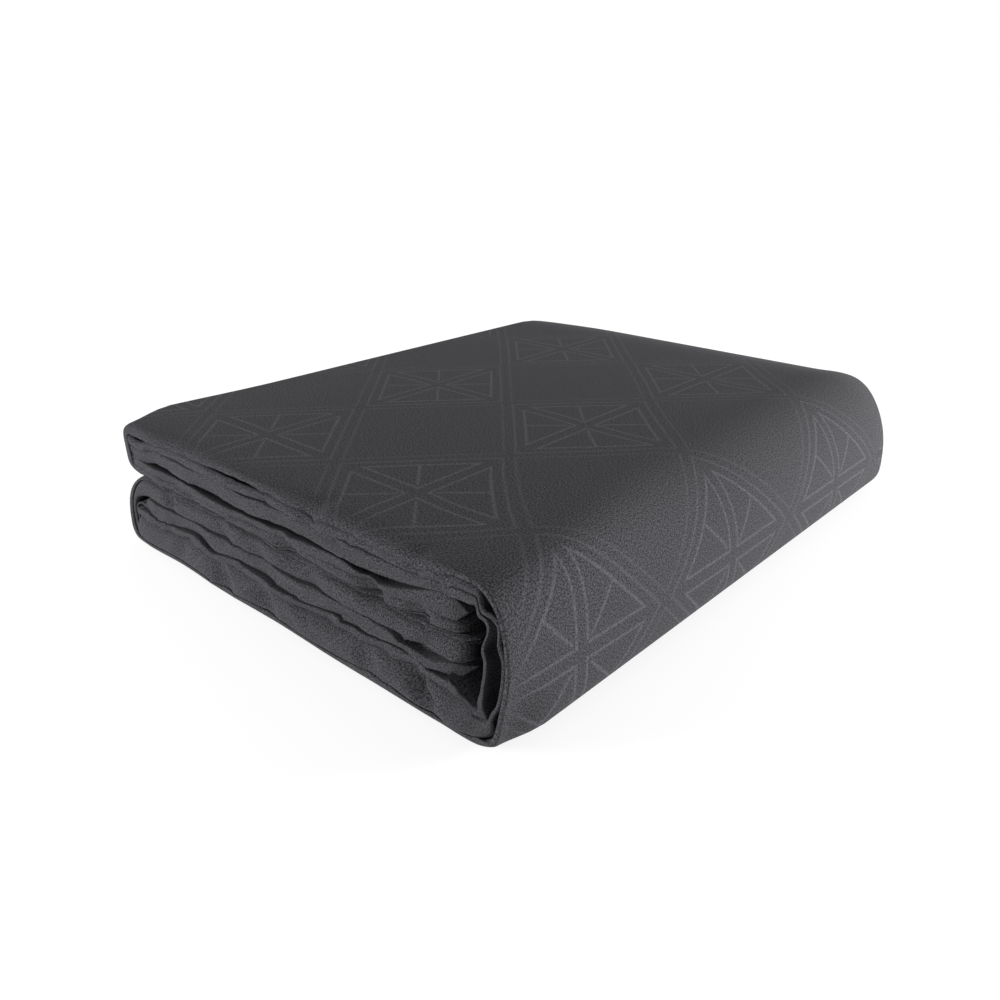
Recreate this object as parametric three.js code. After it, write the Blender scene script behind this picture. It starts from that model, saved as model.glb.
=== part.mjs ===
// A twin-size comforter, folded for the shelf.
//
// The quilted cloth is first folded back and forth into a strip of four layers, which is as wide as the stack is
// long. Both ends of the strip are then turned in to the middle, and the whole is closed like a book. So the stack
// has an upper and a lower half, each with a loop on the left, and one smooth spine on the right that joins them.
// The near end shows the hems and the soft folded edges of the layers, a little apart and uneven.
//
// Millimetres. X runs from the loops to the spine, Y from the near end to the far end, Z up. The origin is on the
// surface that the stack lies on, under its middle.

import * as THREE from "three";

// Driving dimensions
const LENGTH = 548;
const WIDTH = 448;
const HEIGHT = 110;
const CLOTH = 4; // thickness of one layer, pressed by the layers above it
const CLEFT = { bottom: 66, top: 68 }; // the gap between the two halves

const LEFT = -WIDTH / 2;
const RIGHT = WIDTH / 2;
const NEAR = -LENGTH / 2;
const FAR = LENGTH / 2;

// The two halves. A loop turns over and then under its widest point, round a core between its two stacks of layers.
// A squareness of 2 gives an ellipse.
const LOWER = {
  bottom: 0, core: 41, top: CLEFT.bottom, left: LEFT, widest: 18, overWide: 46, underWide: 24, square: 2.1,
};
const UPPER = {
  bottom: CLEFT.top, core: 87, top: HEIGHT, left: LEFT + 14, widest: 92, overWide: 24, underWide: 18, square: 2.6,
};

// The spine turns out from the bottom to its widest point, and in again to the top.
const SPINE = { widest: 34, underWide: 46, underSquare: 3, overWide: 70, overSquare: 2.3 };

// The stretches of the strip. Gaps are between the first and second, second and third, and third and fourth layers
// at the near end. Backs are how far the outer hem, the middle fold and the inner hem stand back from that end.
const STRETCH = {
  lowerReturn: { outerGap: 1.0, middleGap: 4.4, innerGap: 1.0, outerBack: 7, middleBack: 1, innerBack: 5 },
  bottom: { outerGap: 1.2, middleGap: 19, innerGap: 1.2, outerBack: 5, middleBack: 0, innerBack: 5 },
  spine: { outerGap: 0.9, middleGap: 0.8, innerGap: 1.2, outerBack: 0, middleBack: 3, innerBack: 7 },
  top: { outerGap: 0.9, middleGap: 3.4, innerGap: 0.9, outerBack: 1, middleBack: 2, innerBack: 5 },
  upperReturn: { outerGap: 0.6, middleGap: 0.7, innerGap: 0.6, outerBack: 2, middleBack: 2, innerBack: 5 },
};
const CLOSED_GAP = 1.1; // at the far end, between the two folds there

// Where the two ends of the strip stop short of the spine, and how their edges draw back into the corner there.
const RETURN_END = { lower: 172, upper: 160, drawnFrom: 124, drawnBack: 16 };

// How far the edges wander along the near end and the far end.
const WANDER = {
  outer: { sway: 1.6, wave: 150, phase: 0.6 },
  middle: { sway: 2.2, wave: 118, phase: 2.1 },
  inner: { sway: 2.4, wave: 95, phase: 4.0 },
  far: { sway: 1.8, wave: 170, phase: 1.2 },
};

// Places along the near end where two layers part or close: the gap, its middle, half width and change in height.
const PARTINGS = [
  { stretch: "top", gap: "outer", x: -18, half: 38, change: 2.4 },
  { stretch: "top", gap: "inner", x: 104, half: 60, change: 1.2 },
  { stretch: "upperReturn", gap: "inner", x: -86, half: 50, change: 1.4 },
  { stretch: "lowerReturn", gap: "inner", x: 149, half: 26, change: 4.6 },
  { stretch: "lowerReturn", gap: "middle", x: 149, half: 26, change: -3.2 },
  { stretch: "lowerReturn", gap: "inner", x: -118, half: 46, change: 1.6 },
];
const PARTING_DEPTH = 70; // how far a parting runs in from the near end

// At the spine the inner layer stands off from the others, which leaves a tall slit at the near corner.
const SLIT = { extra: 10, depth: 100 };

// Dents pressed into the two ends, and the corners that round back: middle, half width, half height and depth.
const NEAR_DENTS = [
  { x: -60, z: 25, half: 24, high: 9, deep: 6 },
  { x: 0, z: 24, half: 28, high: 10, deep: 7 },
  { x: 105, z: 27, half: 16, high: 8, deep: 4 },
  { x: 158, z: 21, half: 18, high: 12, deep: 7 },
  { x: 120, z: 78, half: 20, high: 9, deep: 9 },
  { x: LEFT, z: 60, half: 26, high: 60, deep: 9.5 },
  { x: RIGHT, z: 0, half: 14, high: 12, deep: 16 },
];
const FAR_DENTS = [
  { x: RIGHT, z: 50, half: 24, high: 75, deep: 20 },
  { x: LEFT, z: 60, half: 26, high: 55, deep: 10 },
];
const DENT_FADE = 60;

// The layers rise and fall along the near end, most at half height.
const SWELLS = [
  { high: 2.0, wave: 190, phase: 2.5 },
  { high: 1.2, wave: 88, phase: 1.2 },
];
const SWELL_FADE = 70;
const SHOULDER = { drop: 7, run: 30 }; // how the top rounds over towards both ends
const CROWN = 1.5; // how much lower the top lies at its rim than at its middle

// Steps along the path of the strip
const STEPS = { level: 10, loop: 5, spine: 7 };
// Where each layer has its points, as shares of the way from its near edge to its far edge
const ACROSS = [0.03, 0.1, 0.3, 0.7, 0.96];
const FOLD_STEPS = 4;
const HEM_STEPS = [
  { in: 0, thick: 0.35 },
  { in: 1.2, thick: 0.75 },
  { in: 6, thick: 1 },
];

const clamp01 = (v) => Math.min(1, Math.max(0, v));
const smooth = (v) => clamp01(v) ** 2 * (3 - 2 * clamp01(v));
const mix = (a, b, share) => a + (b - a) * share;
const hump = (distance, half) => Math.cos((clamp01(Math.abs(distance) / half) * Math.PI) / 2) ** 2;
const bowed = (v, square) => Math.sign(v) * Math.abs(v) ** (2 / square);
const ripple = (at, wave, phase) => Math.sin((at / wave) * 2 * Math.PI + phase);
const mixRows = (a, b, share) => Object.fromEntries(Object.keys(a).map((key) => [key, mix(a[key], b[key], share)]));

// A level stretch of the path. Each station is a point on the outside of the strip, with the step inwards for each
// millimetre of depth and its own row of gaps and backs.
function level(name, from, to, z, inwards) {
  return Array.from({ length: STEPS.level }, (_, i) => {
    const x = mix(from, to, i / (STEPS.level - 1));
    return { name, x, z, inX: 0, inZ: inwards, row: STRETCH[name], spine: 0 };
  });
}

// A loop of one half, from its top round its left to its bottom. Its layers close in on the core.
function loop(half, before, after) {
  const stations = [];
  for (let i = 1; i < 2 * STEPS.loop; i++) {
    const turn = i / STEPS.loop - 1;
    const share = (turn + 1) / 2;
    const angle = (turn * Math.PI) / 2;
    const wide = turn < 0 ? half.overWide : half.underWide;
    const high = turn < 0 ? half.top - half.widest : half.widest - half.bottom;
    const x = half.left + wide - wide * bowed(Math.cos(angle), half.square);
    const z = half.widest - high * bowed(Math.sin(angle), half.square);
    const depth = mix(half.top - half.core, half.core - half.bottom, share);
    const inX = (half.left + mix(half.overWide, half.underWide, share) - x) / depth;
    const inZ = (half.core - z) / depth;
    stations.push({ name: "loop", x, z, inX, inZ, row: mixRows(before, after, share), spine: 0 });
  }
  return stations;
}

// The spine, from the bottom up to the top.
function spine() {
  const stations = [];
  for (let i = 1; i < 2 * STEPS.spine; i++) {
    const turn = i / STEPS.spine - 1;
    const angle = (turn * Math.PI) / 2;
    const wide = turn < 0 ? SPINE.underWide : SPINE.overWide;
    const high = turn < 0 ? SPINE.widest : HEIGHT - SPINE.widest;
    const square = turn < 0 ? SPINE.underSquare : SPINE.overSquare;
    const rising = mixRows(STRETCH.bottom, STRETCH.top, smooth((turn + 1) / 2));
    stations.push({
      name: "spine",
      x: RIGHT - wide + wide * bowed(Math.cos(angle), square),
      z: SPINE.widest + high * bowed(Math.sin(angle), square),
      inX: -Math.cos(angle),
      inZ: -Math.sin(angle),
      row: mixRows(rising, STRETCH.spine, hump(turn, 1)),
      spine: hump(turn, 1),
    });
  }
  return stations;
}

// The whole path, from one end of the strip to the other.
function path() {
  return [
    ...level("lowerReturn", RETURN_END.lower, LOWER.left + LOWER.overWide, LOWER.top, -1),
    ...loop(LOWER, STRETCH.lowerReturn, STRETCH.bottom),
    ...level("bottom", LOWER.left + LOWER.underWide, RIGHT - SPINE.underWide, LOWER.bottom, 1),
    ...spine(),
    ...level("top", RIGHT - SPINE.overWide, UPPER.left + UPPER.overWide, UPPER.top, -1),
    ...loop(UPPER, STRETCH.top, STRETCH.upperReturn),
    ...level("upperReturn", UPPER.left + UPPER.underWide, RETURN_END.upper, UPPER.bottom, 1),
  ];
}

// A gap between two layers at a station and a distance in from the near end. The fullness of the layers lies in
// their folds, so from the near end to the far end it passes from the middle gap to the other two.
function gapAt(name, at, inwards) {
  const { outerGap, middleGap, innerGap } = at.row;
  const fold = (outerGap + middleGap + innerGap - CLOSED_GAP) / 2;
  const farGap = name === "middle" ? CLOSED_GAP : fold;
  let gap = mix(at.row[`${name}Gap`], farGap, smooth(inwards / LENGTH));
  for (const part of PARTINGS) {
    if (part.stretch === at.name && part.gap === name) {
      gap += part.change * hump(at.x - part.x, part.half) * hump(inwards, PARTING_DEPTH);
    }
  }
  if (name === "inner") gap += SLIT.extra * at.spine * hump(inwards, SLIT.depth);
  return gap;
}

// The depth of the middle of a layer below the outside of the strip.
function depthOf(layer, at, y) {
  const gaps = ["outer", "middle", "inner"].slice(0, layer);
  return gaps.reduce((sum, name) => sum + CLOTH + gapAt(name, at, y - NEAR), CLOTH / 2);
}

// Where an edge of the layers lies along Y at a station.
function wander(edge, at) {
  const { sway, wave, phase } = WANDER[edge];
  return sway * (1 - at.spine) * (1 + ripple(at.x + at.z, wave, phase));
}

function nearEdge(edge, at) {
  const isReturn = at.name === "lowerReturn" || at.name === "upperReturn";
  const reach = (at.x - RETURN_END.drawnFrom) / (RETURN_END.upper - RETURN_END.drawnFrom);
  const drawn = isReturn ? RETURN_END.drawnBack * smooth(reach) : 0;
  return NEAR + at.row[`${edge}Back`] + wander(edge, at) + drawn;
}

// The middle line of the four layers at one station, as points with a side direction and a half thickness.
function middleLine(at) {
  const line = [];
  const farEnd = FAR - wander("far", at);
  const nearEnds = ["outer", "middle", "middle", "inner"].map((edge) => nearEdge(edge, at));
  const point = (layer, y, thick) => {
    const side = layer % 2 ? 1 : -1;
    line.push({ y, n: depthOf(layer, at, y), sideY: 0, sideN: side, half: (thick * CLOTH) / 2 });
  };
  const hem = (layer, steps) => steps.forEach((step) => point(layer, nearEnds[layer] + step.in, step.thick));
  // A fold turns from one layer to the next, round a half ellipse that touches its end of the stack.
  const fold = (layer, end, way) => {
    const first = depthOf(layer, at, end);
    const next = depthOf(layer + 1, at, end);
    const radius = (next - first) / 2;
    for (let i = 0; i <= FOLD_STEPS; i++) {
      const angle = (i / FOLD_STEPS) * Math.PI;
      line.push({
        y: end + way * (radius * Math.sin(angle) - radius - CLOTH / 2),
        n: (first + next) / 2 - radius * Math.cos(angle),
        sideY: Math.sin(angle),
        sideN: -way * Math.cos(angle),
        half: CLOTH / 2,
      });
    }
  };
  const run = (layer, shares) => {
    const room = 2 * CLOTH + at.row.middleGap / 2;
    shares.forEach((share) => point(layer, mix(nearEnds[layer] + room, farEnd - room, share), 1));
  };
  const outwards = ACROSS;
  const homewards = [...ACROSS].reverse();
  hem(0, HEM_STEPS);
  run(0, outwards);
  fold(0, farEnd, 1);
  run(1, homewards);
  fold(1, nearEnds[1], -1);
  run(2, outwards);
  fold(2, farEnd, 1);
  run(3, homewards);
  hem(3, [...HEM_STEPS].reverse());
  return line;
}

// The unevenness of the whole stack: dents and swells at the near end, and a top that rounds over at its ends.
function uneven(x, y, z) {
  const inwards = y - NEAR;
  const up = clamp01(z / HEIGHT);
  const dent = (rows) =>
    rows.reduce((sum, d) => sum + d.deep * hump(x - d.x, 2 * d.half) * hump(z - d.z, 2 * d.high), 0);
  const pushed = dent(NEAR_DENTS) * hump(inwards, DENT_FADE) - dent(FAR_DENTS) * hump(FAR - y, DENT_FADE);
  const swell = SWELLS.reduce((sum, s) => sum + s.high * ripple(x, s.wave, s.phase), 0);
  const ends = clamp01(1 - inwards / SHOULDER.run) ** 2 + clamp01(1 - (FAR - y) / SHOULDER.run) ** 2;
  const rim = 1 - Math.cos((x / WIDTH) * Math.PI) * Math.cos((y / LENGTH) * Math.PI);
  const lift = swell * 4 * up * (1 - up) * hump(inwards, SWELL_FADE);
  const drop = up ** 2 * (SHOULDER.drop * ends + CROWN * rim);
  return [x, y + pushed, z + lift - drop];
}

// The comforter as one closed skin: the outline of the layers at each station, joined from station to station.
function foldedSkin() {
  const stations = path();
  const positions = [];
  const faces = [];
  let around = 0;
  for (const at of stations) {
    const line = middleLine(at);
    const left = line.map((p) => [p.y + p.sideY * p.half, p.n + p.sideN * p.half]);
    const right = line.map((p) => [p.y - p.sideY * p.half, p.n - p.sideN * p.half]).reverse();
    around = left.length + right.length;
    for (const [y, n] of [...left, ...right]) {
      positions.push(...uneven(at.x + at.inX * n, y, at.z + at.inZ * n));
    }
  }
  const last = (stations.length - 1) * around;
  for (let k = 0; k < last; k += around) {
    for (let i = 0; i < around; i++) {
      const next = (i + 1) % around;
      faces.push(k + i, k + next, k + around + i, k + next, k + around + next, k + around + i);
    }
  }
  // The two ends of the strip are closed by a ladder of faces between the two sides of the outline.
  for (let i = 0; i < around / 2 - 1; i++) {
    const [a, b] = [i, i + 1];
    const [c, d] = [around - 2 - i, around - 1 - i];
    faces.push(a, d, b, b, d, c);
    faces.push(last + a, last + b, last + d, last + b, last + c, last + d);
  }
  const skin = new THREE.BufferGeometry();
  skin.setAttribute("position", new THREE.Float32BufferAttribute(positions, 3));
  skin.setIndex(faces);
  skin.computeVertexNormals();
  return skin;
}

const charcoalCloth = new THREE.MeshStandardMaterial({ color: 0x464648, roughness: 0.92, metalness: 0 });

const comforter = new THREE.Mesh(foldedSkin(), charcoalCloth);
comforter.name = "comforter";

const stack = new THREE.Group();
stack.add(comforter);

export default stack;
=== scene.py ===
import math

import bmesh
import bpy
import numpy as np
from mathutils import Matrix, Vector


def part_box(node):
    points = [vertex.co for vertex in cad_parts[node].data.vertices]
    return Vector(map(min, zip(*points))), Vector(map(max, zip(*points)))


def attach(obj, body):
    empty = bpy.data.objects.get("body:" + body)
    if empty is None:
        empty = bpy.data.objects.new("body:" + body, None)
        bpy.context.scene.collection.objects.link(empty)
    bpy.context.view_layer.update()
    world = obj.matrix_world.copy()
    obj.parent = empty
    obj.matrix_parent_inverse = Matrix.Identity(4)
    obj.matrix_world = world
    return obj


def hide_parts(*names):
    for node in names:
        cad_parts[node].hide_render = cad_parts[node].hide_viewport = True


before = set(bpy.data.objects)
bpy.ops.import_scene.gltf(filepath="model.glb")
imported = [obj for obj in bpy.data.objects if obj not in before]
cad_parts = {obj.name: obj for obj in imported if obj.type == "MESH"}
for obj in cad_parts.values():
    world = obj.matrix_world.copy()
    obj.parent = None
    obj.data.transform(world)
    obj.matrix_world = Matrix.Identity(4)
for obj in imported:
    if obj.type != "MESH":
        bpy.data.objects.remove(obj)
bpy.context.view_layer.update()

# The camera stands above the near corner, where the folded end and the smooth spine meet, and looks
# down on the top. A moderately wide lens gives the strong taper of the stack towards its far corner.
MM = 0.001
EYE = (468.8 * MM, -551.4 * MM, 326.6 * MM)
LOOKS_DOWN = math.radians(23.78)
TURNED_LEFT = math.radians(42.2)
FOCAL_PIXELS = 867
IMAGE_PIXELS = 1000
FILM_WIDTH = 36
NEAREST = 10 * MM

lens = bpy.data.cameras.new("camera")
lens.sensor_width = FILM_WIDTH
lens.lens = FILM_WIDTH * FOCAL_PIXELS / IMAGE_PIXELS
lens.clip_start = NEAREST
camera = bpy.data.objects.new("camera", lens)
camera.location = EYE
camera.rotation_euler = (math.pi / 2 - LOOKS_DOWN, 0, TURNED_LEFT)
bpy.context.scene.collection.objects.link(camera)
bpy.context.scene.camera = camera


# The studio: a seamless white floor under a white sky that is dimmer overhead. The floor glows more
# with distance, so that it meets the sky without an edge. One soft box lights the spine and one lights
# the folded end.
FLOOR_REACH = 12
FLOOR_WHITE = 0.3
FLOOR_GLOW = {"near": 0.78, "far": 1.0, "from": 0.7, "to": 2.0}
SKY = {"horizon": 1.0, "zenith": 0.47, "bright_to": 0.12, "dim_from": 0.5}
SOFT_BOXES = [
    {"name": "spine_light", "at": (1.5, 1.9, 0.32), "wide": 1.3, "high": 0.5, "power": 125},
    {"name": "end_light", "at": (-0.9, -1.6, 0.38), "wide": 0.7, "high": 0.4, "power": 34},
]


class Socket:
    """One value in a material. Sums, products and comparisons of values add Math nodes."""

    def __init__(self, tree, output=None):
        self.tree = tree
        self.output = output

    def node(self, kind, settings=None, sockets=None, take=0):
        made = self.tree.nodes.new(kind)
        for name, value in (settings or {}).items():
            setattr(made, name, value)
        for name, value in (sockets or {}).items():
            if isinstance(value, Socket):
                self.tree.links.new(value.output, made.inputs[name])
            else:
                made.inputs[name].default_value = value
        return Socket(self.tree, made.outputs[take] if made.outputs else None)

    def math(self, operation, first, second=0.0):
        return self.node("ShaderNodeMath", {"operation": operation}, {0: first, 1: second})

    def __add__(self, other):
        return self.math("ADD", self, other)

    def __sub__(self, other):
        return self.math("SUBTRACT", self, other)

    def __mul__(self, other):
        return self.math("MULTIPLY", self, other)

    def __truediv__(self, other):
        return self.math("DIVIDE", self, other)

    def __radd__(self, other):
        return self.math("ADD", other, self)

    def __rsub__(self, other):
        return self.math("SUBTRACT", other, self)

    def __rmul__(self, other):
        return self.math("MULTIPLY", other, self)

    def __rtruediv__(self, other):
        return self.math("DIVIDE", other, self)

    def __abs__(self):
        return self.math("ABSOLUTE", self)

    def least(self, other):
        return self.math("MINIMUM", self, other)

    def most(self, other):
        return self.math("MAXIMUM", self, other)

    def ramp(self, start, end, low=0.0, high=1.0):
        """Rises softly from low at start to high at end."""
        return self.node(
            "ShaderNodeMapRange",
            {"interpolation_type": "SMOOTHSTEP"},
            {"Value": self, "From Min": start, "From Max": end, "To Min": low, "To Max": high},
        )


def new_material(name):
    """An empty material, and a socket that adds nodes to it."""
    made = bpy.data.materials.new(name)
    made.use_nodes = True
    made.node_tree.nodes.clear()
    return made, Socket(made.node_tree)


white_floor, paint = new_material("white_floor")
place = paint.node("ShaderNodeTexCoord", take="Object")
far_out = paint.node("ShaderNodeVectorMath", {"operation": "LENGTH"}, {0: place}, take="Value")
floor_glow = far_out.ramp(FLOOR_GLOW["from"], FLOOR_GLOW["to"], FLOOR_GLOW["near"], FLOOR_GLOW["far"])
floor_finish = paint.node(
    "ShaderNodeBsdfPrincipled",
    sockets={
        "Base Color": (FLOOR_WHITE, FLOOR_WHITE, FLOOR_WHITE, 1),
        "Roughness": 1.0,
        "Specular IOR Level": 0.0,
        "Emission Color": floor_glow,
        "Emission Strength": 1.0,
    },
)
paint.node("ShaderNodeOutputMaterial", sockets={"Surface": floor_finish})

floor_mesh = bpy.data.meshes.new("floor")
shape = bmesh.new()
bmesh.ops.create_grid(shape, x_segments=1, y_segments=1, size=FLOOR_REACH)
shape.to_mesh(floor_mesh)
shape.free()
floor_mesh.materials.append(white_floor)
floor = bpy.data.objects.new("floor", floor_mesh)
bpy.context.scene.collection.objects.link(floor)

sky = bpy.data.worlds.new("white_sky")
sky.use_nodes = True
sky.node_tree.nodes.clear()
air = Socket(sky.node_tree)
direction = air.node("ShaderNodeTexCoord", take="Generated")
upwards = air.node("ShaderNodeSeparateXYZ", sockets={0: direction}, take="Z")
glow = upwards.ramp(SKY["bright_to"], SKY["dim_from"], SKY["horizon"], SKY["zenith"])
dome = air.node("ShaderNodeBackground", sockets={"Color": (1, 1, 1, 1), "Strength": glow})
air.node("ShaderNodeOutputWorld", sockets={"Surface": dome})
bpy.context.scene.world = sky
bpy.context.scene.view_settings.view_transform = "Standard"

for box in SOFT_BOXES:
    light = bpy.data.lights.new(box["name"], "AREA")
    light.shape = "RECTANGLE"
    light.size = box["wide"]
    light.size_y = box["high"]
    light.energy = box["power"]
    lamp = bpy.data.objects.new(box["name"], light)
    lamp.location = box["at"]
    lamp.rotation_euler = lamp.location.to_track_quat("Z", "Y").to_euler()
    bpy.context.scene.collection.objects.link(lamp)


# The comforter: one quilted cloth with a thin filling and turned hems. It is folded back and forth into
# a strip of four layers, both ends of the strip are turned in to the middle, and the whole is closed
# like a book. It lies with the spine of the book on the right, and its hems and folds at the near end.
box_low, box_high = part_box("comforter")
LEFT, NEAR = box_low.x / MM, box_low.y / MM
RIGHT, FAR = box_high.x / MM, box_high.y / MM
WIDTH, LENGTH = RIGHT - LEFT, FAR - NEAR
HEIGHT = 110
CLOTH = 4  # thickness of one layer, pressed by the layers above it
CLEFT = {"bottom": 66.4, "top": 67.4}  # the gap between the two halves of the book
SET_BACK = 14  # of the upper loop behind the lower one

# The two halves. A loop turns over and then under its widest point, round a core between its two stacks
# of layers. The spine is squarer at the near end than at the far end.
LOWER = {
    "bottom": 0, "core": 41, "top": CLEFT["bottom"], "left": LEFT,
    "widest": 18, "over_wide": 46, "under_wide": 24, "square": 2.35,
}
UPPER = {
    "bottom": CLEFT["top"], "core": 87, "top": HEIGHT, "left": LEFT + SET_BACK,
    "widest": 87, "over_wide": 16, "under_wide": 20, "square": 3,
}
NEAR_SPINE = {
    "widest": 34, "under_wide": 46, "under_square": 3,
    "over_wide": 30, "over_square": 3.5, "inner_square": 4,
}
FAR_SPINE = {
    "widest": 34, "under_wide": 46, "under_square": 3,
    "over_wide": 70, "over_square": 2.3, "inner_square": 2,
}
SPINE_EASE = 240  # the run from the near shape to the far shape
ROUND = 2  # how square a plain round is

# Where the two ends of the strip stop beside the spine, and how far their near corners round back.
RETURN_END = {"lower": 189, "upper": 187, "rounds_from": 170, "back": 11}
END_ROUND = 8  # over which both ends of the strip thin to an edge, as the hems do

# The stretches of the strip at the near end: the thickness of the outer hem, of each ply of the middle
# fold and of the inner hem, the gaps between them, how far each edge stands back from the end, the run
# of each rounded hem, and how square the middle fold and the outer hem are.
COLUMNS = (
    "outer", "outer_gap", "fold", "fold_gap", "inner_gap", "inner",
    "outer_back", "fold_back", "inner_back", "outer_nose", "inner_nose", "fold_square", "outer_square",
)
STRETCH_ROWS = {
    "lower return": (1.8, 0.2, 4.6, 5.6, 0.2, 10.4, 4.0, 1.0, 1.0, 6, 1.4, 5.0, 2),
    "lower loop": (5.5, 1.6, 2.4, 0.4, 0.6, 2.6, 0.4, 0.6, 1.2, 2, 1.4, 3.0, 5),
    "bottom": (5.0, 0.2, 4.6, 18.4, 0.1, 5.2, 0.6, -1.8, -1.4, 6.5, 1.4, 3.0, 2),
    "spine": (3.6, 0.3, 1.6, 0.3, 0.9, 2.8, 0, 1.0, 1.6, 1.8, 1.4, 2.0, 3),
    "corner": (3.2, 0.2, 2.6, 0.4, 0.1, 6.0, 1.0, 0.8, 1.0, 2.4, 1.4, 2.2, 3),
    "top": (6.0, 0.1, 3.3, 0.5, 0.2, 11.8, 2.2, 0.6, 1.2, 14, 1.6, 3.0, 2),
    "upper loop": (11.6, 2.8, 1.5, 0.4, 0.6, 1.6, 0, 1.4, 2.0, 2, 1.4, 3.0, 5),
    "upper return": (1.8, 0.2, 3.6, 0.6, 0.2, 7.2, 2.0, 0.2, -0.5, 6, 1.4, 3.4, 2),
}
STRETCH = {name: dict(zip(COLUMNS, row)) for name, row in STRETCH_ROWS.items()}
CORNER_EASE = 75  # the run over which the layers of the top thin towards the corner by the spine
CLOSED_GAP = 1.1  # at the far end, between the two folds there
LEAST_GAP = 0.2  # the least room inside a fold of the far end
HEM_RUN = 14  # over which the full inner hem thins to a plain layer
INNER_SQUARE = 4  # how square the inner hem is
LEAST_NOSE = 1.4  # the run of the tightest rounded hem
LONG_NOSE = (2, 6)  # the runs between which the edge of the outer hem comes to lie on the fold under it

# Parts of a turn, from -1 at its start over 0 at its widest point to 1 at its end: where the layers come
# to have the sizes of the loop or of the spine, and where the outer hem lies down on the fold under it.
LOOP_SIZES = (1, 0.2)
LOOP_LIES = (1 / 3, 1)
SPINE_SIZES = {"foot": (-0.42, -0.12), "top": (1, 0.65)}
SPINE_LIES = {"foot": (-11 / 30, -0.7), "top": (0.75, 1)}

# How far the edges wander along the near end and the far end.
WANDER = {
    "outer": {"sway": 0.8, "wave": 150, "phase": 0.6},
    "fold": {"sway": 0.8, "wave": 118, "phase": 2.1},
    "inner": {"sway": 0.9, "wave": 95, "phase": 4.0},
    "far": {"sway": 1.8, "wave": 170, "phase": 1.2},
}

# Places along the near end where layers part, thin or swell: which size on which stretch, where along it
# and half width, how far inside and half depth, and the change. Along "run" is the way along the strip
# from the middle of a stretch.
PARTING_COLUMNS = ("stretch", "size", "along", "at", "half", "inside", "reach", "change")
PARTING_ROWS = [
    ("top", "outer", "x", -22, 70, 0, 90, -2.0),
    ("top", "outer_gap", "x", -22, 54, 0, 90, 2.8),
    ("top", "outer_gap", "x", -22, 54, 20, 20, 5.0),
    ("top", "inner", "x", -22, 54, 20, 20, -4.0),
    ("top", "outer_back", "x", -22, 64, 0, 90, 2.2),
    ("top", "outer_nose", "x", -22, 70, 0, 90, -9.0),
    ("top", "outer_square", "x", -22, 64, 0, 90, 2.0),
    ("upper loop", "outer", "run", -40, 40, 0, 90, 2.0),
    ("upper loop", "outer_gap", "run", -48, 30, 0, 90, 2.2),
    ("upper loop", "outer_gap", "run", -48, 30, 18, 18, 3.0),
    ("upper loop", "outer_nose", "run", -46, 44, 0, 90, -9.0),
    ("upper loop", "fold_back", "run", -48, 30, 0, 90, -0.6),
    ("upper return", "inner", "x", -140, 70, 0, 90, -1.5),
    ("upper return", "inner", "x", -70, 70, 0, 90, -1.5),
    ("upper return", "inner", "x", 0, 60, 0, 90, -2.6),
    ("upper return", "inner", "x", 112, 34, 0, 90, -4.0),
    ("upper return", "inner", "x", 176, 46, 0, 90, 8.2),
    ("upper return", "inner_back", "x", 160, 46, 0, 90, 1.8),
    ("lower loop", "inner_gap", "run", -28, 30, 0, 90, 7.0),
    ("lower loop", "inner_gap", "run", -28, 30, 16, 18, 3.0),
    ("bottom", "inner", "run", 228, 46, 0, 90, 8.0),
    ("bottom", "inner", "x", -172, 28, 0, 90, 2.5),
    ("bottom", "inner_back", "x", 110, 90, 0, 90, 2.8),
    ("lower return", "inner_gap", "x", 151, 29, 0, 90, 7.6),
    ("lower return", "inner", "x", 151, 33, 0, 90, -6.8),
    ("lower return", "inner_gap", "x", -118, 46, 0, 90, 0.6),
    ("spine", "outer_gap", "run", 66, 24, 0, 90, 8.0),
    ("spine", "outer_gap", "run", 66, 24, 16, 18, 6.0),
    ("spine", "outer_gap", "z", 84, 12, 0, 90, 2.5),
    ("spine", "outer_gap", "z", 84, 16, 14, 16, 3.0),
    ("spine", "outer_gap", "z", 27, 16, 0, 90, 4.0),
    ("spine", "outer_gap", "z", 27, 20, 14, 16, 4.0),
    ("spine", "inner_gap", "z", 42, 22, 0, 90, 10.0),
    ("spine", "inner_gap", "z", 64, 22, 0, 90, 10.0),
    ("spine", "inner_gap", "z", 86, 22, 0, 90, 10.0),
    ("spine", "inner_gap", "z", 60, 44, 16, 18, 7.0),
]
PARTINGS = [dict(zip(PARTING_COLUMNS, row)) for row in PARTING_ROWS]

# Corners of the two ends that round back: middle, half width, half height and depth.
NEAR_DENTS = [
    {"x": LEFT, "z": 60, "half": 32, "high": 180, "deep": 2},
]
FAR_DENTS = [
    {"x": RIGHT, "z": 50, "half": 48, "high": 150, "deep": 20},
    {"x": LEFT, "z": 60, "half": 52, "high": 110, "deep": 10},
]
DENT_FADE = 60

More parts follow.
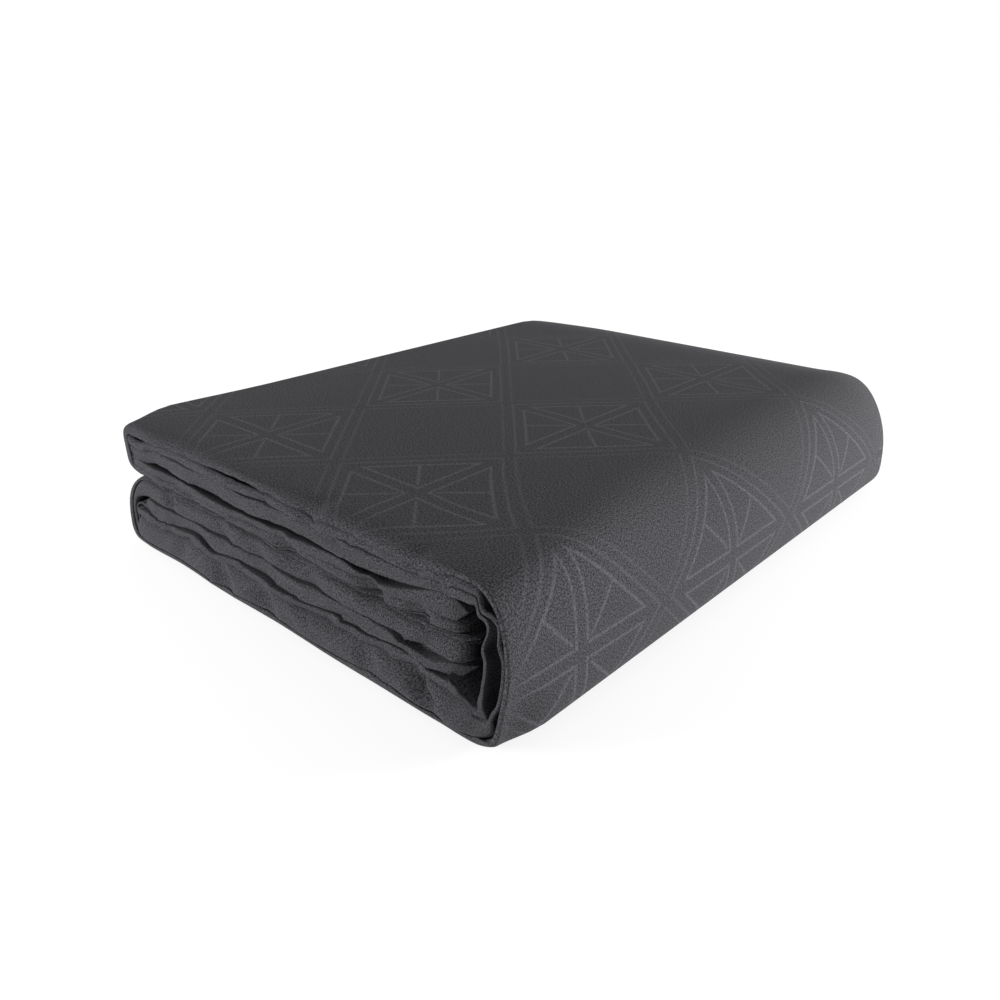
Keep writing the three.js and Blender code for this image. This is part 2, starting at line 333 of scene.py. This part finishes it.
# Where the layers rise or sag along the near end: middle, half width, half height, lift, and the run
# inwards.
LIFTS = [
    {"x": -95, "z": 42, "half": 30, "high": 14, "lift": 3.0, "run": 70},
    {"x": -66, "z": 38, "half": 20, "high": 12, "lift": -3.0, "run": 70},
    {"x": -160, "z": 38, "half": 40, "high": 14, "lift": -2.5, "run": 70},
    {"x": 34, "z": 39, "half": 36, "high": 13, "lift": -3.0, "run": 70},
    {"x": 138, "z": 43, "half": 42, "high": 13, "lift": 3.0, "run": 70},
    {"x": -145, "z": 68, "half": 60, "high": 22, "lift": 1.0, "run": 70},
    {"x": -45, "z": 84, "half": 60, "high": 15, "lift": -2.0, "run": 70},
    {"x": 57, "z": 106, "half": 10, "high": 11, "lift": -5.5, "run": 30},
    {"x": 152, "z": 105, "half": 9, "high": 10, "lift": -5.0, "run": 28},
    {"x": 174, "z": 100, "half": 9, "high": 9, "lift": -4.5, "run": 26},
]

# The top rounds over towards both ends, its left rim sinks away from the near end, it lies lower at its
# rim than at its middle, and a low roll runs along it by the spine.
SHOULDER = {"near": 1.4, "near_run": 30, "far": 8, "far_run": 50}
SAG = {"low": 3, "half": 130, "run": 160}
CROWN = 1.1
ROLL = {"x": 186, "half": 46, "high": 2.2}

# The foot of the spine and the two loops draw in towards the near end.
TUCKS = [
    {"from": 185, "to": RIGHT, "z": 10, "high": 60, "run": 38, "shift": -8},
    {"from": -100, "to": LEFT, "z": 55, "high": 400, "run": 56, "shift": 23},
]

# The main creases of the near end, each a trough or a low ridge along a line, and the small wrinkles
# between them, which are low along the long gap of the upper half.
CREASES = [
    {"from": (46, 96), "to": (58, 108), "half": 12, "deep": 5.0},
    {"from": (144, 106), "to": (158, 98), "half": 9, "deep": 5.0},
    {"from": (164, 101), "to": (180, 94), "half": 9, "deep": 3.6},
    {"from": (61, 95), "to": (92, 93), "half": 4, "deep": 3.0},
    {"from": (20, 66), "to": (34, 82), "half": 16, "deep": 6.0},
    {"from": (106, 62), "to": (118, 82), "half": 15, "deep": 9.5},
    {"from": (146, 64), "to": (158, 80), "half": 12, "deep": 7.0},
    {"from": (-118, 75), "to": (-77, 73), "half": 3, "deep": 2.4},
    {"from": (-134, 50), "to": (-124, 66), "half": 15, "deep": 6.0},
    {"from": (-64, 48), "to": (-46, 64), "half": 17, "deep": 3.6},
    {"from": (-20, 48), "to": (0, 64), "half": 18, "deep": 3.6},
    {"from": (38, 50), "to": (60, 64), "half": 18, "deep": 3.6},
    {"from": (-128, 14), "to": (-100, 32), "half": 8, "deep": 4.0},
    {"from": (-68, 6), "to": (-50, 28), "half": 18, "deep": 8.0},
    {"from": (-14, 6), "to": (2, 28), "half": 18, "deep": 8.0},
    {"from": (98, 12), "to": (110, 28), "half": 13, "deep": 6.0},
    {"from": (140, 34), "to": (166, 8), "half": 11, "deep": 15.0},
    {"from": (20, 33), "to": (52, 12), "half": 8, "deep": -2.4},
    {"from": (178, 34), "to": (170, 12), "half": 7, "deep": -2.0},
]
WRINKLES = {
    "count": 150, "from": -170, "to": 190, "long": (16, 50), "lean": (0.1, 1.1), "half": (2.6, 5.5),
    "deep": 2.2, "share": (0.4, 1), "clear_of": 83, "clear": 8, "seed": 4,
}
CREASE_REACH = 0.6  # from the middle of a crease to where it has died out, as a share of its length
CREASE_FADE = 30
FOOT = 16  # the creases die out this near to the floor

# Points of the mesh along the strip, and across each layer as distances from its near and its far edge.
STEPS = {"level": 64, "loop": 12, "spine": 30}
HEM_STEPS = 6
FOLD_STEPS = {"near": 20, "far": 8}
NEAR_POINTS = (2, 4.5, 8, 13, 20, 30, 44)
MIDDLE_POINTS = {"shown": 18, "hidden": 3}
FAR_POINTS = (40, 22, 10, 3)


def smooth(share):
    share = np.clip(share, 0, 1)
    return share * share * (3 - 2 * share)


def passed(value, start, end):
    """Rises softly from 0 at the start to 1 at the end, which may be the smaller of the two."""
    return smooth((value - start) / (end - start))


def mix(start, end, share):
    return start + (end - start) * share


def hump(distance, half):
    return np.cos(np.clip(np.abs(distance) / half, 0, 1) * math.pi / 2) ** 2


def ripple(at, wave, phase):
    return np.sin(at / wave * 2 * math.pi + phase)


def rounded(step, square):
    """A point on a rounded square of unit size: how far it is out to the front and how far to the side.
    The step counts along the sides of the square, from -2 over 0 at the middle of the front to 2."""
    out, side = min(2 - abs(step), 1), max(-1, min(step, 1))
    size = (out ** square + abs(side) ** square) ** (1 / square)
    return out / size, side / size


def mix_rows(start, end, share):
    return {name: mix(start[name], end[name], share) for name in COLUMNS}


def level(stretch, start, end, height, inwards, leaving=None):
    """A level stretch of the path. Each station is a point on the outside of the strip, with the step
    inwards for each millimetre of depth and its own row of sizes, which may pass over from the row of a
    corner that it leaves."""
    stations = []
    for x in np.linspace(start, end, STEPS["level"]):
        at_corner = smooth(1 - abs(x - start) / CORNER_EASE)
        stations.append({
            "stretch": stretch,
            "x": x,
            "z": height,
            "in_x": 0,
            "in_z": inwards,
            "row": mix_rows(STRETCH[stretch], STRETCH[leaving or stretch], at_corner),
            "spine": 0,
            "lies": 1,
        })
    return stations


def loop(half, before, stretch, after):
    """A loop of one half, from its top round its left to its bottom. Its layers close in on the core."""
    stations = []
    for turn in np.linspace(-1, 1, 2 * STEPS["loop"] + 1)[1:-1]:
        share = (turn + 1) / 2
        wide = half["over_wide"] if turn < 0 else half["under_wide"]
        high = half["top"] - half["widest"] if turn < 0 else half["widest"] - half["bottom"]
        out, down = rounded(2 * turn, half["square"])
        x = half["left"] + wide - wide * out
        z = half["widest"] - high * down
        depth = mix(half["top"] - half["core"], half["core"] - half["bottom"], share)
        core_x = half["left"] + mix(half["over_wide"], half["under_wide"], share)
        passing = mix_rows(STRETCH[before], STRETCH[after], share)
        stations.append({
            "stretch": stretch,
            "x": x,
            "z": z,
            "in_x": (core_x - x) / depth,
            "in_z": (half["core"] - z) / depth,
            "row": mix_rows(passing, STRETCH[stretch], passed(abs(turn), *LOOP_SIZES)),
            "spine": 0,
            "lies": passed(abs(turn), *LOOP_LIES),
        })
    return stations


def spine(profile):
    """The spine, from the bottom up to the top."""
    stations = []
    for turn in np.linspace(-1, 1, 2 * STEPS["spine"] + 1)[1:-1]:
        upright = passed(turn, *SPINE_SIZES["foot"]) * passed(turn, *SPINE_SIZES["top"])
        wide = profile["under_wide"] if turn < 0 else profile["over_wide"]
        high = profile["widest"] if turn < 0 else HEIGHT - profile["widest"]
        square = profile["under_square"] if turn < 0 else profile["over_square"]
        out, up = rounded(2 * turn, square)
        in_out, in_up = rounded(2 * turn, profile["inner_square"] if turn < 0 else ROUND)
        passing = mix_rows(STRETCH["bottom"], STRETCH["corner"], smooth((turn + 1) / 2))
        stations.append({
            "stretch": "spine",
            "x": RIGHT - wide + wide * out,
            "z": profile["widest"] + high * up,
            "in_x": -in_out,
            "in_z": -in_up,
            "row": mix_rows(passing, STRETCH["spine"], upright),
            "spine": upright,
            "lies": passed(turn, *SPINE_LIES["top"]) + passed(turn, *SPINE_LIES["foot"]),
        })
    return stations


def path(profile):
    """The whole path of the strip from one end to the other, with one shape of the spine."""
    lower_top, lower_foot = LOWER["left"] + LOWER["over_wide"], LOWER["left"] + LOWER["under_wide"]
    upper_top, upper_foot = UPPER["left"] + UPPER["over_wide"], UPPER["left"] + UPPER["under_wide"]
    return [
        *level("lower return", RETURN_END["lower"], lower_top, LOWER["top"], -1),
        *loop(LOWER, "lower return", "lower loop", "bottom"),
        *level("bottom", lower_foot, RIGHT - profile["under_wide"], LOWER["bottom"], 1),
        *spine(profile),
        *level("top", RIGHT - profile["over_wide"], upper_top, UPPER["top"], -1, "corner"),
        *loop(UPPER, "top", "upper loop", "upper return"),
        *level("upper return", upper_foot, RETURN_END["upper"], UPPER["bottom"], 1),
    ]


def run_along(at):
    """The way along the outside of the strip from its first end to each station."""
    return np.concatenate([[0], np.cumsum(np.hypot(np.diff(at["x"]), np.diff(at["z"])))])


near_path, far_path = path(NEAR_SPINE), path(FAR_SPINE)
PLACES = ("x", "z", "in_x", "in_z")
near_at = {name: np.array([station[name] for station in near_path], float) for name in PLACES}
far_at = {name: np.array([station[name] for station in far_path], float) for name in PLACES}
sizes = {name: np.array([station["row"][name] for station in near_path]) for name in COLUMNS}
stretch_at = np.array([station["stretch"] for station in near_path])
at_spine = np.array([station["spine"] for station in near_path])
lies = np.array([station["lies"] for station in near_path])
run = run_along(far_at)

LAYERS = ("outer", "fold", "fold", "inner")
GAPS = ("outer_gap", "fold_gap", "inner_gap")


def size_at(name, y):
    """One of the sizes at each station, at a place between the near and the far end. The fullness of
    the layers lies in their folds, so on the way to the far end it passes from the middle gap to the
    other two."""
    total = sum(sizes[part] for part in LAYERS + GAPS)
    fold_room = (total - len(LAYERS) * CLOTH - CLOSED_GAP) / 2
    far_sizes = {"outer_gap": fold_room, "inner_gap": fold_room, "fold_gap": CLOSED_GAP}
    far_size = np.maximum(far_sizes.get(name, CLOTH), LEAST_GAP)
    eased_over = HEM_RUN if name == "inner" else LENGTH
    size = mix(sizes[name], far_size, smooth((y - NEAR) / eased_over))
    for part in PARTINGS:
        if part["size"] == name:
            on_stretch = stretch_at == part["stretch"]
            if part["along"] == "run":
                here = hump(run - run[on_stretch].mean() - part["at"], part["half"])
            else:
                here = on_stretch * hump(near_at[part["along"]] - part["at"], part["half"])
            size = size + part["change"] * here * hump(y - NEAR - part["inside"], part["reach"])
    return size


def thickness(layer, y):
    return size_at(LAYERS[layer], y)


def depth_of(layer, y):
    """The depth of the middle of a layer below the outside of the strip."""
    above = sum(thickness(k, y) + size_at(GAPS[k], y) for k in range(layer))
    return above + thickness(layer, y) / 2


def wander(edge):
    sway = WANDER[edge]
    swaying = ripple(near_at["x"] + near_at["z"], sway["wave"], sway["phase"])
    return sway["sway"] * (1 - at_spine) * (1 + swaying)


def drawn_back():
    """How far the corners of the two ends of the strip round back, beside the spine."""
    is_return = (stretch_at == "lower return") | (stretch_at == "upper return")
    rounds_over = RETURN_END["lower"] - RETURN_END["rounds_from"]
    reach = (near_at["x"] - RETURN_END["rounds_from"]) / rounds_over
    return is_return * RETURN_END["back"] * (1 - np.sqrt(1 - np.clip(reach, 0, 1) ** 2))


near_edges = [NEAR + size_at(edge + "_back", NEAR) + wander(edge) + drawn_back() for edge in LAYERS]
far_edge = FAR - wander("far")
nose = {edge: np.maximum(size_at(edge + "_nose", NEAR), LEAST_NOSE) for edge in ("outer", "inner")}
squareness = {"outer": size_at("outer_square", NEAR), "inner": INNER_SQUARE}
to_end = np.minimum(run, run[-1] - run)
end_round = np.sqrt(1 - (1 - np.clip(to_end / END_ROUND, 0, 1)) ** 2)


def section():
    """The middle line of the four layers at all stations, from the outer hem to the inner hem: each point
    has its place across and its depth, the side that the first face of the cloth is on, and half the
    thickness."""
    line = []

    def add(y, depth, side_y, side_depth, half):
        line.append((y, depth, side_y, side_depth, half * end_round))

    def fold_reach(layer):
        end = NEAR if layer == 1 else FAR
        return (depth_of(layer + 1, end) - depth_of(layer, end)) / 2 + thickness(layer, end) / 2

    def under_drop(y):
        """How far the middle fold has rounded away under the outer hem."""
        square = sizes["fold_square"]
        reach = np.clip(1 - (y - near_edges[1]) / fold_reach(1), 0, 1)
        return fold_reach(1) * (1 - (1 - reach ** square) ** (1 / square))

    def layer_at(layer, y, share=1.0, settled=0):
        side = 1 if layer % 2 else -1
        half = thickness(layer, y) / 2
        drop = settled * ((1 - share) * half + under_drop(y))
        add(y, depth_of(layer, y) + drop, 0, side, share * half)

    def hem_points(edge, layer):
        """The points of a rounded hem, from its edge inwards: the place and the share of the thickness."""
        points = []
        for step in np.linspace(0, 2, HEM_STEPS + 1):
            out, side = rounded(step, squareness[edge])
            points.append((near_edges[layer] + (1 - out) * nose[edge], side))
        return points

    def outer_hem():
        for y, share in hem_points("outer", 0)[:-1]:
            layer_at(0, y, share, lies * passed(nose["outer"], *LONG_NOSE))

    def inner_hem():
        for y, share in hem_points("inner", 3)[-2::-1]:
            layer_at(3, y, share)

    def across(layer, homewards):
        rooms = {0: nose["outer"], 3: nose["inner"]}
        first = near_edges[layer] + rooms.get(layer, fold_reach(1))
        last = far_edge - fold_reach(0 if layer < 2 else 2)
        near_part = [first + step for step in (0, *NEAR_POINTS)]
        far_part = [last - step for step in FAR_POINTS]
        shares = np.linspace(0, 1, MIDDLE_POINTS["shown" if layer == 0 else "hidden"] + 2)[1:-1]
        middle_part = [mix(near_part[-1], far_part[0], share) for share in shares]
        points = near_part + middle_part + far_part
        for y in points[::-1] if homewards else points:
            layer_at(layer, y)

    def fold(layer, end, way):
        first, after = depth_of(layer, end), depth_of(layer + 1, end)
        radius = (after - first) / 2
        half = thickness(layer, end) / 2
        square = sizes["fold_square"] if way < 0 else ROUND
        for step in np.linspace(-2, 2, FOLD_STEPS["near" if way < 0 else "far"] + 1):
            out, down = rounded(step, square)
            steep_out, steep_down = out ** (square - 1), np.sign(down) * np.abs(down) ** (square - 1)
            steep = np.hypot(steep_out, steep_down)
            y = end + way * (radius * out - radius - half)
            depth = (first + after) / 2 + radius * down
            add(y, depth, steep_out / steep, way * steep_down / steep, half)

    outer_hem()
    across(0, False)
    fold(0, far_edge, 1)
    across(1, True)
    fold(1, near_edges[1], -1)
    across(2, False)
    fold(2, far_edge, 1)
    across(3, True)
    inner_hem()
    return line


def dent(rows, x, z):
    return sum(
        row["deep"] * hump(x - row["x"], row["half"]) * hump(z - row["z"], row["high"]) for row in rows
    )


def wrinkles():
    """The small leaning wrinkles of the near end, half of them troughs and half of them ridges."""
    draw = np.random.default_rng(WRINKLES["seed"])
    rows = []
    for count in range(WRINKLES["count"]):
        x, z = draw.uniform(WRINKLES["from"], WRINKLES["to"]), draw.uniform(0, HEIGHT)
        long, lean = draw.uniform(*WRINKLES["long"]), draw.uniform(*WRINKLES["lean"])
        calm = min(abs(z - WRINKLES["clear_of"]) / WRINKLES["clear"], 1)
        deep = draw.uniform(*WRINKLES["share"]) * WRINKLES["deep"] * calm * (-1) ** count
        rows.append({
            "from": (x - long / 2, z - lean * long / 2),
            "to": (x + long / 2, z + lean * long / 2),
            "half": draw.uniform(*WRINKLES["half"]),
            "deep": deep,
        })
    return rows


def crease(row, x, z):
    """The depth of one crease at each place, deepest on its line and fading to its sides and ends."""
    (start_x, start_z), (end_x, end_z) = row["from"], row["to"]
    long = math.hypot(end_x - start_x, end_z - start_z)
    way_x, way_z = (end_x - start_x) / long, (end_z - start_z) / long
    along = (x - start_x) * way_x + (z - start_z) * way_z
    aside = (z - start_z) * way_x - (x - start_x) * way_z
    return row["deep"] * hump(along - long / 2, CREASE_REACH * long) * hump(aside, row["half"])


def lift(row, x, z, inwards):
    here = hump(x - row["x"], row["half"]) * hump(z - row["z"], row["high"])
    return row["lift"] * here * hump(inwards, row["run"])


def tuck(row, x, z, inwards):
    here = hump(z - row["z"], row["high"]) * hump(inwards, row["run"])
    return row["shift"] * here * passed(x, row["from"], row["to"])


def uneven(x, y, z):
    """The unevenness of the whole stack: dents, lifts, tucks and creases at the ends, and a top that
    rounds over."""
    inwards = y - NEAR
    near_dents = dent(NEAR_DENTS, x, z) * hump(inwards, DENT_FADE)
    far_dents = dent(FAR_DENTS, x, z) * hump(FAR - y, DENT_FADE)
    creases = sum(crease(row, x, z) for row in CREASES + wrinkles())
    creased = creases * hump(inwards, CREASE_FADE) * smooth(z / FOOT)
    lifted = sum(lift(row, x, z, inwards) for row in LIFTS)
    tucked = sum(tuck(row, x, z, inwards) for row in TUCKS)
    near_round = SHOULDER["near"] * np.clip(1 - inwards / SHOULDER["near_run"], 0, 1) ** 2
    far_round = SHOULDER["far"] * np.clip(1 - (FAR - y) / SHOULDER["far_run"], 0, 1) ** 2
    sunk = SAG["low"] * hump(x - LEFT, SAG["half"]) * smooth(inwards / SAG["run"])
    rim = 1 - np.cos(x / WIDTH * math.pi) * np.cos(y / LENGTH * math.pi)
    rolled = ROLL["high"] * hump(x - ROLL["x"], ROLL["half"])
    up = np.clip(z / HEIGHT, 0, 1)
    drop = up ** 2 * (near_round + far_round + sunk + CROWN * rim - rolled)
    return x + tucked, y + near_dents - far_dents + creased, z + lifted - drop


line = section()
everywhere = run.shape
middle_y, middle_depth, side_y, side_depth, half_thick = (
    np.array([np.broadcast_to(value, everywhere) for value in values]) for values in zip(*line)
)


def skin(middle, side):
    """Once round the cloth: out along its first face, home along its second, back to the outer hem."""
    offset = side * half_thick
    return np.concatenate([middle + offset, (middle - offset)[-2::-1]])


skin_y = skin(middle_y, side_y)
skin_depth = skin(middle_depth, side_depth)
ease = smooth((skin_y - NEAR) / SPINE_EASE)
out_x, out_z, step_x, step_z = (mix(near_at[name], far_at[name], ease) for name in PLACES)
places = np.stack(uneven(out_x + step_x * skin_depth, skin_y, out_z + step_z * skin_depth), -1) * MM

# The flat cloth: along it from a row of motifs on the top, and across it from the middle of the outer
# layer. On the spine, where the cloth is eased round, the pattern lies lower by some slack.
MOTIF_ROW = {"x": 91, "y": -33}
SLACK = {"near": 18, "far": 8.5, "run": 190}
near_run = run_along(near_at)
on_top = stretch_at == "top"
home = np.flatnonzero(on_top)[-1]
row_start = np.interp(-MOTIF_ROW["x"], -far_at["x"][on_top], run[on_top]) - run[home]
steps_across = np.hypot(np.diff(skin_y, axis=0), np.diff(skin_depth, axis=0))
turned = len(line) - 1


def added_up(steps):
    return np.cumsum(np.concatenate([[np.zeros(everywhere)], steps]), axis=0)


first_face = added_up(steps_across[:turned])
second_face = added_up(steps_across[turned:][::-1])[::-1]
along = mix(near_run - near_run[home], run - run[home], ease) - row_start
flat_x = (along + mix(SLACK["near"], SLACK["far"], ease) * smooth(-along / SLACK["run"])) * MM
flat_y = (near_edges[0] - MOTIF_ROW["y"] + np.concatenate([first_face, second_face[1:]])) * MM

# The pattern is plain to see on the outside of the strip, and hardly on its hems, its folded edges and
# its inside.
FAINT = 0.25
FROM_HEM = (6, 24)  # where the pattern starts and where it is in full sight
OUTER_POINTS = HEM_STEPS + 1 + len(NEAR_POINTS) + MIDDLE_POINTS["shown"] + len(FAR_POINTS)
outside = np.arange(len(skin_y))[:, None] < OUTER_POINTS
clear = np.pad(passed(first_face, *FROM_HEM), ((0, turned), (0, 0)))
shown = mix(FAINT, 1, clear * outside)

TOUCHING = 0.5e-6
around, stations = skin_y.shape
shape = bmesh.new()
bmesh.ops.create_grid(shape, x_segments=stations - 1, y_segments=around - 1, size=1)
shape.verts.ensure_lookup_table()
flat_cloth = shape.loops.layers.uv.new("flat_cloth")
pattern = shape.verts.layers.float.new("pattern")
spots = np.array([vertex.co for vertex in shape.verts])
columns = np.rint((spots[:, 0] + 1) / 2 * (stations - 1)).astype(int)
rows = np.rint((spots[:, 1] + 1) / 2 * (around - 1)).astype(int)
for vertex, row, column in zip(shape.verts, rows, columns):
    vertex.co = places[row, column]
    vertex[pattern] = shown[row, column]
for face in shape.faces:
    face.smooth = True
    for corner in face.loops:
        row, column = rows[corner.vert.index], columns[corner.vert.index]
        corner[flat_cloth].uv = (flat_x[row, column], flat_y[row, column])
bmesh.ops.remove_doubles(shape, verts=shape.verts, dist=TOUCHING)
bmesh.ops.recalc_face_normals(shape, faces=shape.faces)
cloth_mesh = bpy.data.meshes.new("comforter_cloth")
shape.to_mesh(cloth_mesh)
shape.free()

# The weave is a charcoal heather. A trellis of double lines is woven in a lighter yarn, and every other
# cell of it holds four triangles, each with a line from its square corner to the middle of its long side.
PITCH = {"along": 164 * MM, "across": 177.5 * MM}
OUTLINES = (0.925, 1.07)  # of a cell, where 1 is midway between a motif and the next plain cell
TRIANGLE = {"leg": 5.3 * MM, "long_side": 0.785, "bisector_from": 9 * MM}
LINE_WIDTH = 2.0 * MM
LINE_SOFT = 0.9 * MM
LINE_END = 0.5 * MM
BISECTOR_START = 1 * MM
STRENGTH = {"outlines": 0.65, "second_outline": 0.7, "colour": 0.66, "raised": 0.3}
YARN = {
    "dark": (0.013, 0.0127, 0.0142, 1),
    "light": (0.059, 0.0577, 0.0645, 1),
    "line": (0.1, 0.098, 0.109, 1),
}

# The sizes of the grains along and across the cloth, and how much finer grain lies in them.
MELANGE = {"along": 1.1 * MM, "across": 0.85 * MM, "detail": 2.0}
SLUB = {"along": 0.8 * MM, "across": 1.6 * MM, "detail": 1.0}
BREAKS = {"along": 1.8 * MM, "across": 1.8 * MM, "detail": 2.0}
HEATHER = {"melange": 0.6, "slub": 0.4, "dark_to": 0.39, "light_from": 0.61}
BROKEN = {"from": 0.33, "to": 0.67, "least": 0.22}
RAISED = {"melange": 0.5, "slub": 0.5}
ROUGHNESS = {"dark": 0.98, "light": 0.88}

charcoal, yarn = new_material("charcoal_cloth")
cloth_at = yarn.node("ShaderNodeUVMap", {"uv_map": "flat_cloth"})
cloth_x = yarn.node("ShaderNodeSeparateXYZ", sockets={0: cloth_at}, take="X")
cloth_y = yarn.node("ShaderNodeSeparateXYZ", sockets={0: cloth_at}, take="Y")


def from_motif(at, pitch):
    """The distance to the nearest motif along one direction of the cloth."""
    return yarn.math("PINGPONG", at / pitch, 0.5) * pitch


def woven_line(distance):
    return abs(distance).ramp(LINE_WIDTH / 2 + LINE_SOFT, LINE_WIDTH / 2 - LINE_SOFT)


def fibres(along, across, detail):
    """Soft noise on the cloth with grains of the given sizes."""
    grain = yarn.node(
        "ShaderNodeMapping",
        {"vector_type": "POINT"},
        {"Vector": cloth_at, "Scale": (1 / along, 1 / across, 1)},
    )
    return yarn.node(
        "ShaderNodeTexNoise",
        {"noise_dimensions": "2D"},
        {"Vector": grain, "Scale": 1.0, "Detail": detail, "Roughness": 0.6},
    )


def dyed(factor, first, second):
    """A colour between two colours."""
    first_colour, second_colour, mixed_colour = 6, 7, 2
    sockets = {"Factor": factor, first_colour: first, second_colour: second}
    return yarn.node("ShaderNodeMix", {"data_type": "RGBA"}, sockets, mixed_colour)


aside = from_motif(cloth_x, PITCH["along"])
away = from_motif(cloth_y, PITCH["across"])
outwards = aside * (2 / PITCH["along"]) + away * (2 / PITCH["across"])
steepness = math.hypot(2 / PITCH["along"], 2 / PITCH["across"])
first_outline, second_outline = (woven_line((outwards - outline) / steepness) for outline in OUTLINES)
trellis = first_outline.most(second_outline * STRENGTH["second_outline"])
from_legs = (aside - TRIANGLE["leg"]).least(away - TRIANGLE["leg"])
inside = from_legs.least((TRIANGLE["long_side"] - outwards) / steepness)
bisector = woven_line((aside - away) * math.sqrt(0.5)) * inside.ramp(0, LINE_END)
bisector_from = TRIANGLE["bisector_from"]
bisector = bisector * aside.least(away).ramp(bisector_from - BISECTOR_START, bisector_from)
triangles = woven_line(inside).most(bisector)

melange = fibres(**MELANGE)
slub = fibres(**SLUB)
broken = fibres(**BREAKS).ramp(BROKEN["from"], BROKEN["to"], BROKEN["least"])
blend = melange * HEATHER["melange"] + slub * HEATHER["slub"]
heather = blend.ramp(HEATHER["dark_to"], HEATHER["light_from"])
ground = dyed(heather, YARN["dark"], YARN["light"])
in_sight = yarn.node("ShaderNodeAttribute", {"attribute_name": "pattern"}, take="Fac")
lines = (trellis * STRENGTH["outlines"]).most(triangles) * broken * in_sight
colour = dyed(lines * STRENGTH["colour"], ground, YARN["line"])
height = melange * RAISED["melange"] + slub * RAISED["slub"] + lines * STRENGTH["raised"]
relief = yarn.node("ShaderNodeBump", sockets={"Strength": 0.15, "Distance": 0.4 * MM, "Height": height})
finish = yarn.node(
    "ShaderNodeBsdfPrincipled",
    sockets={
        "Base Color": colour,
        "Roughness": heather.ramp(0, 1, ROUGHNESS["dark"], ROUGHNESS["light"]),
        "Specular IOR Level": 0.1,
        "Normal": relief,
        "Sheen Weight": 0.04,
        "Sheen Roughness": 0.5,
        "Sheen Tint": (0.5, 0.5, 0.52, 1),
    },
)
yarn.node("ShaderNodeOutputMaterial", sockets={"Surface": finish})
cloth_mesh.materials.append(charcoal)

comforter_cloth = bpy.data.objects.new("comforter_cloth", cloth_mesh)
bpy.context.scene.collection.objects.link(comforter_cloth)
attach(comforter_cloth, "root")
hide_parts("comforter")
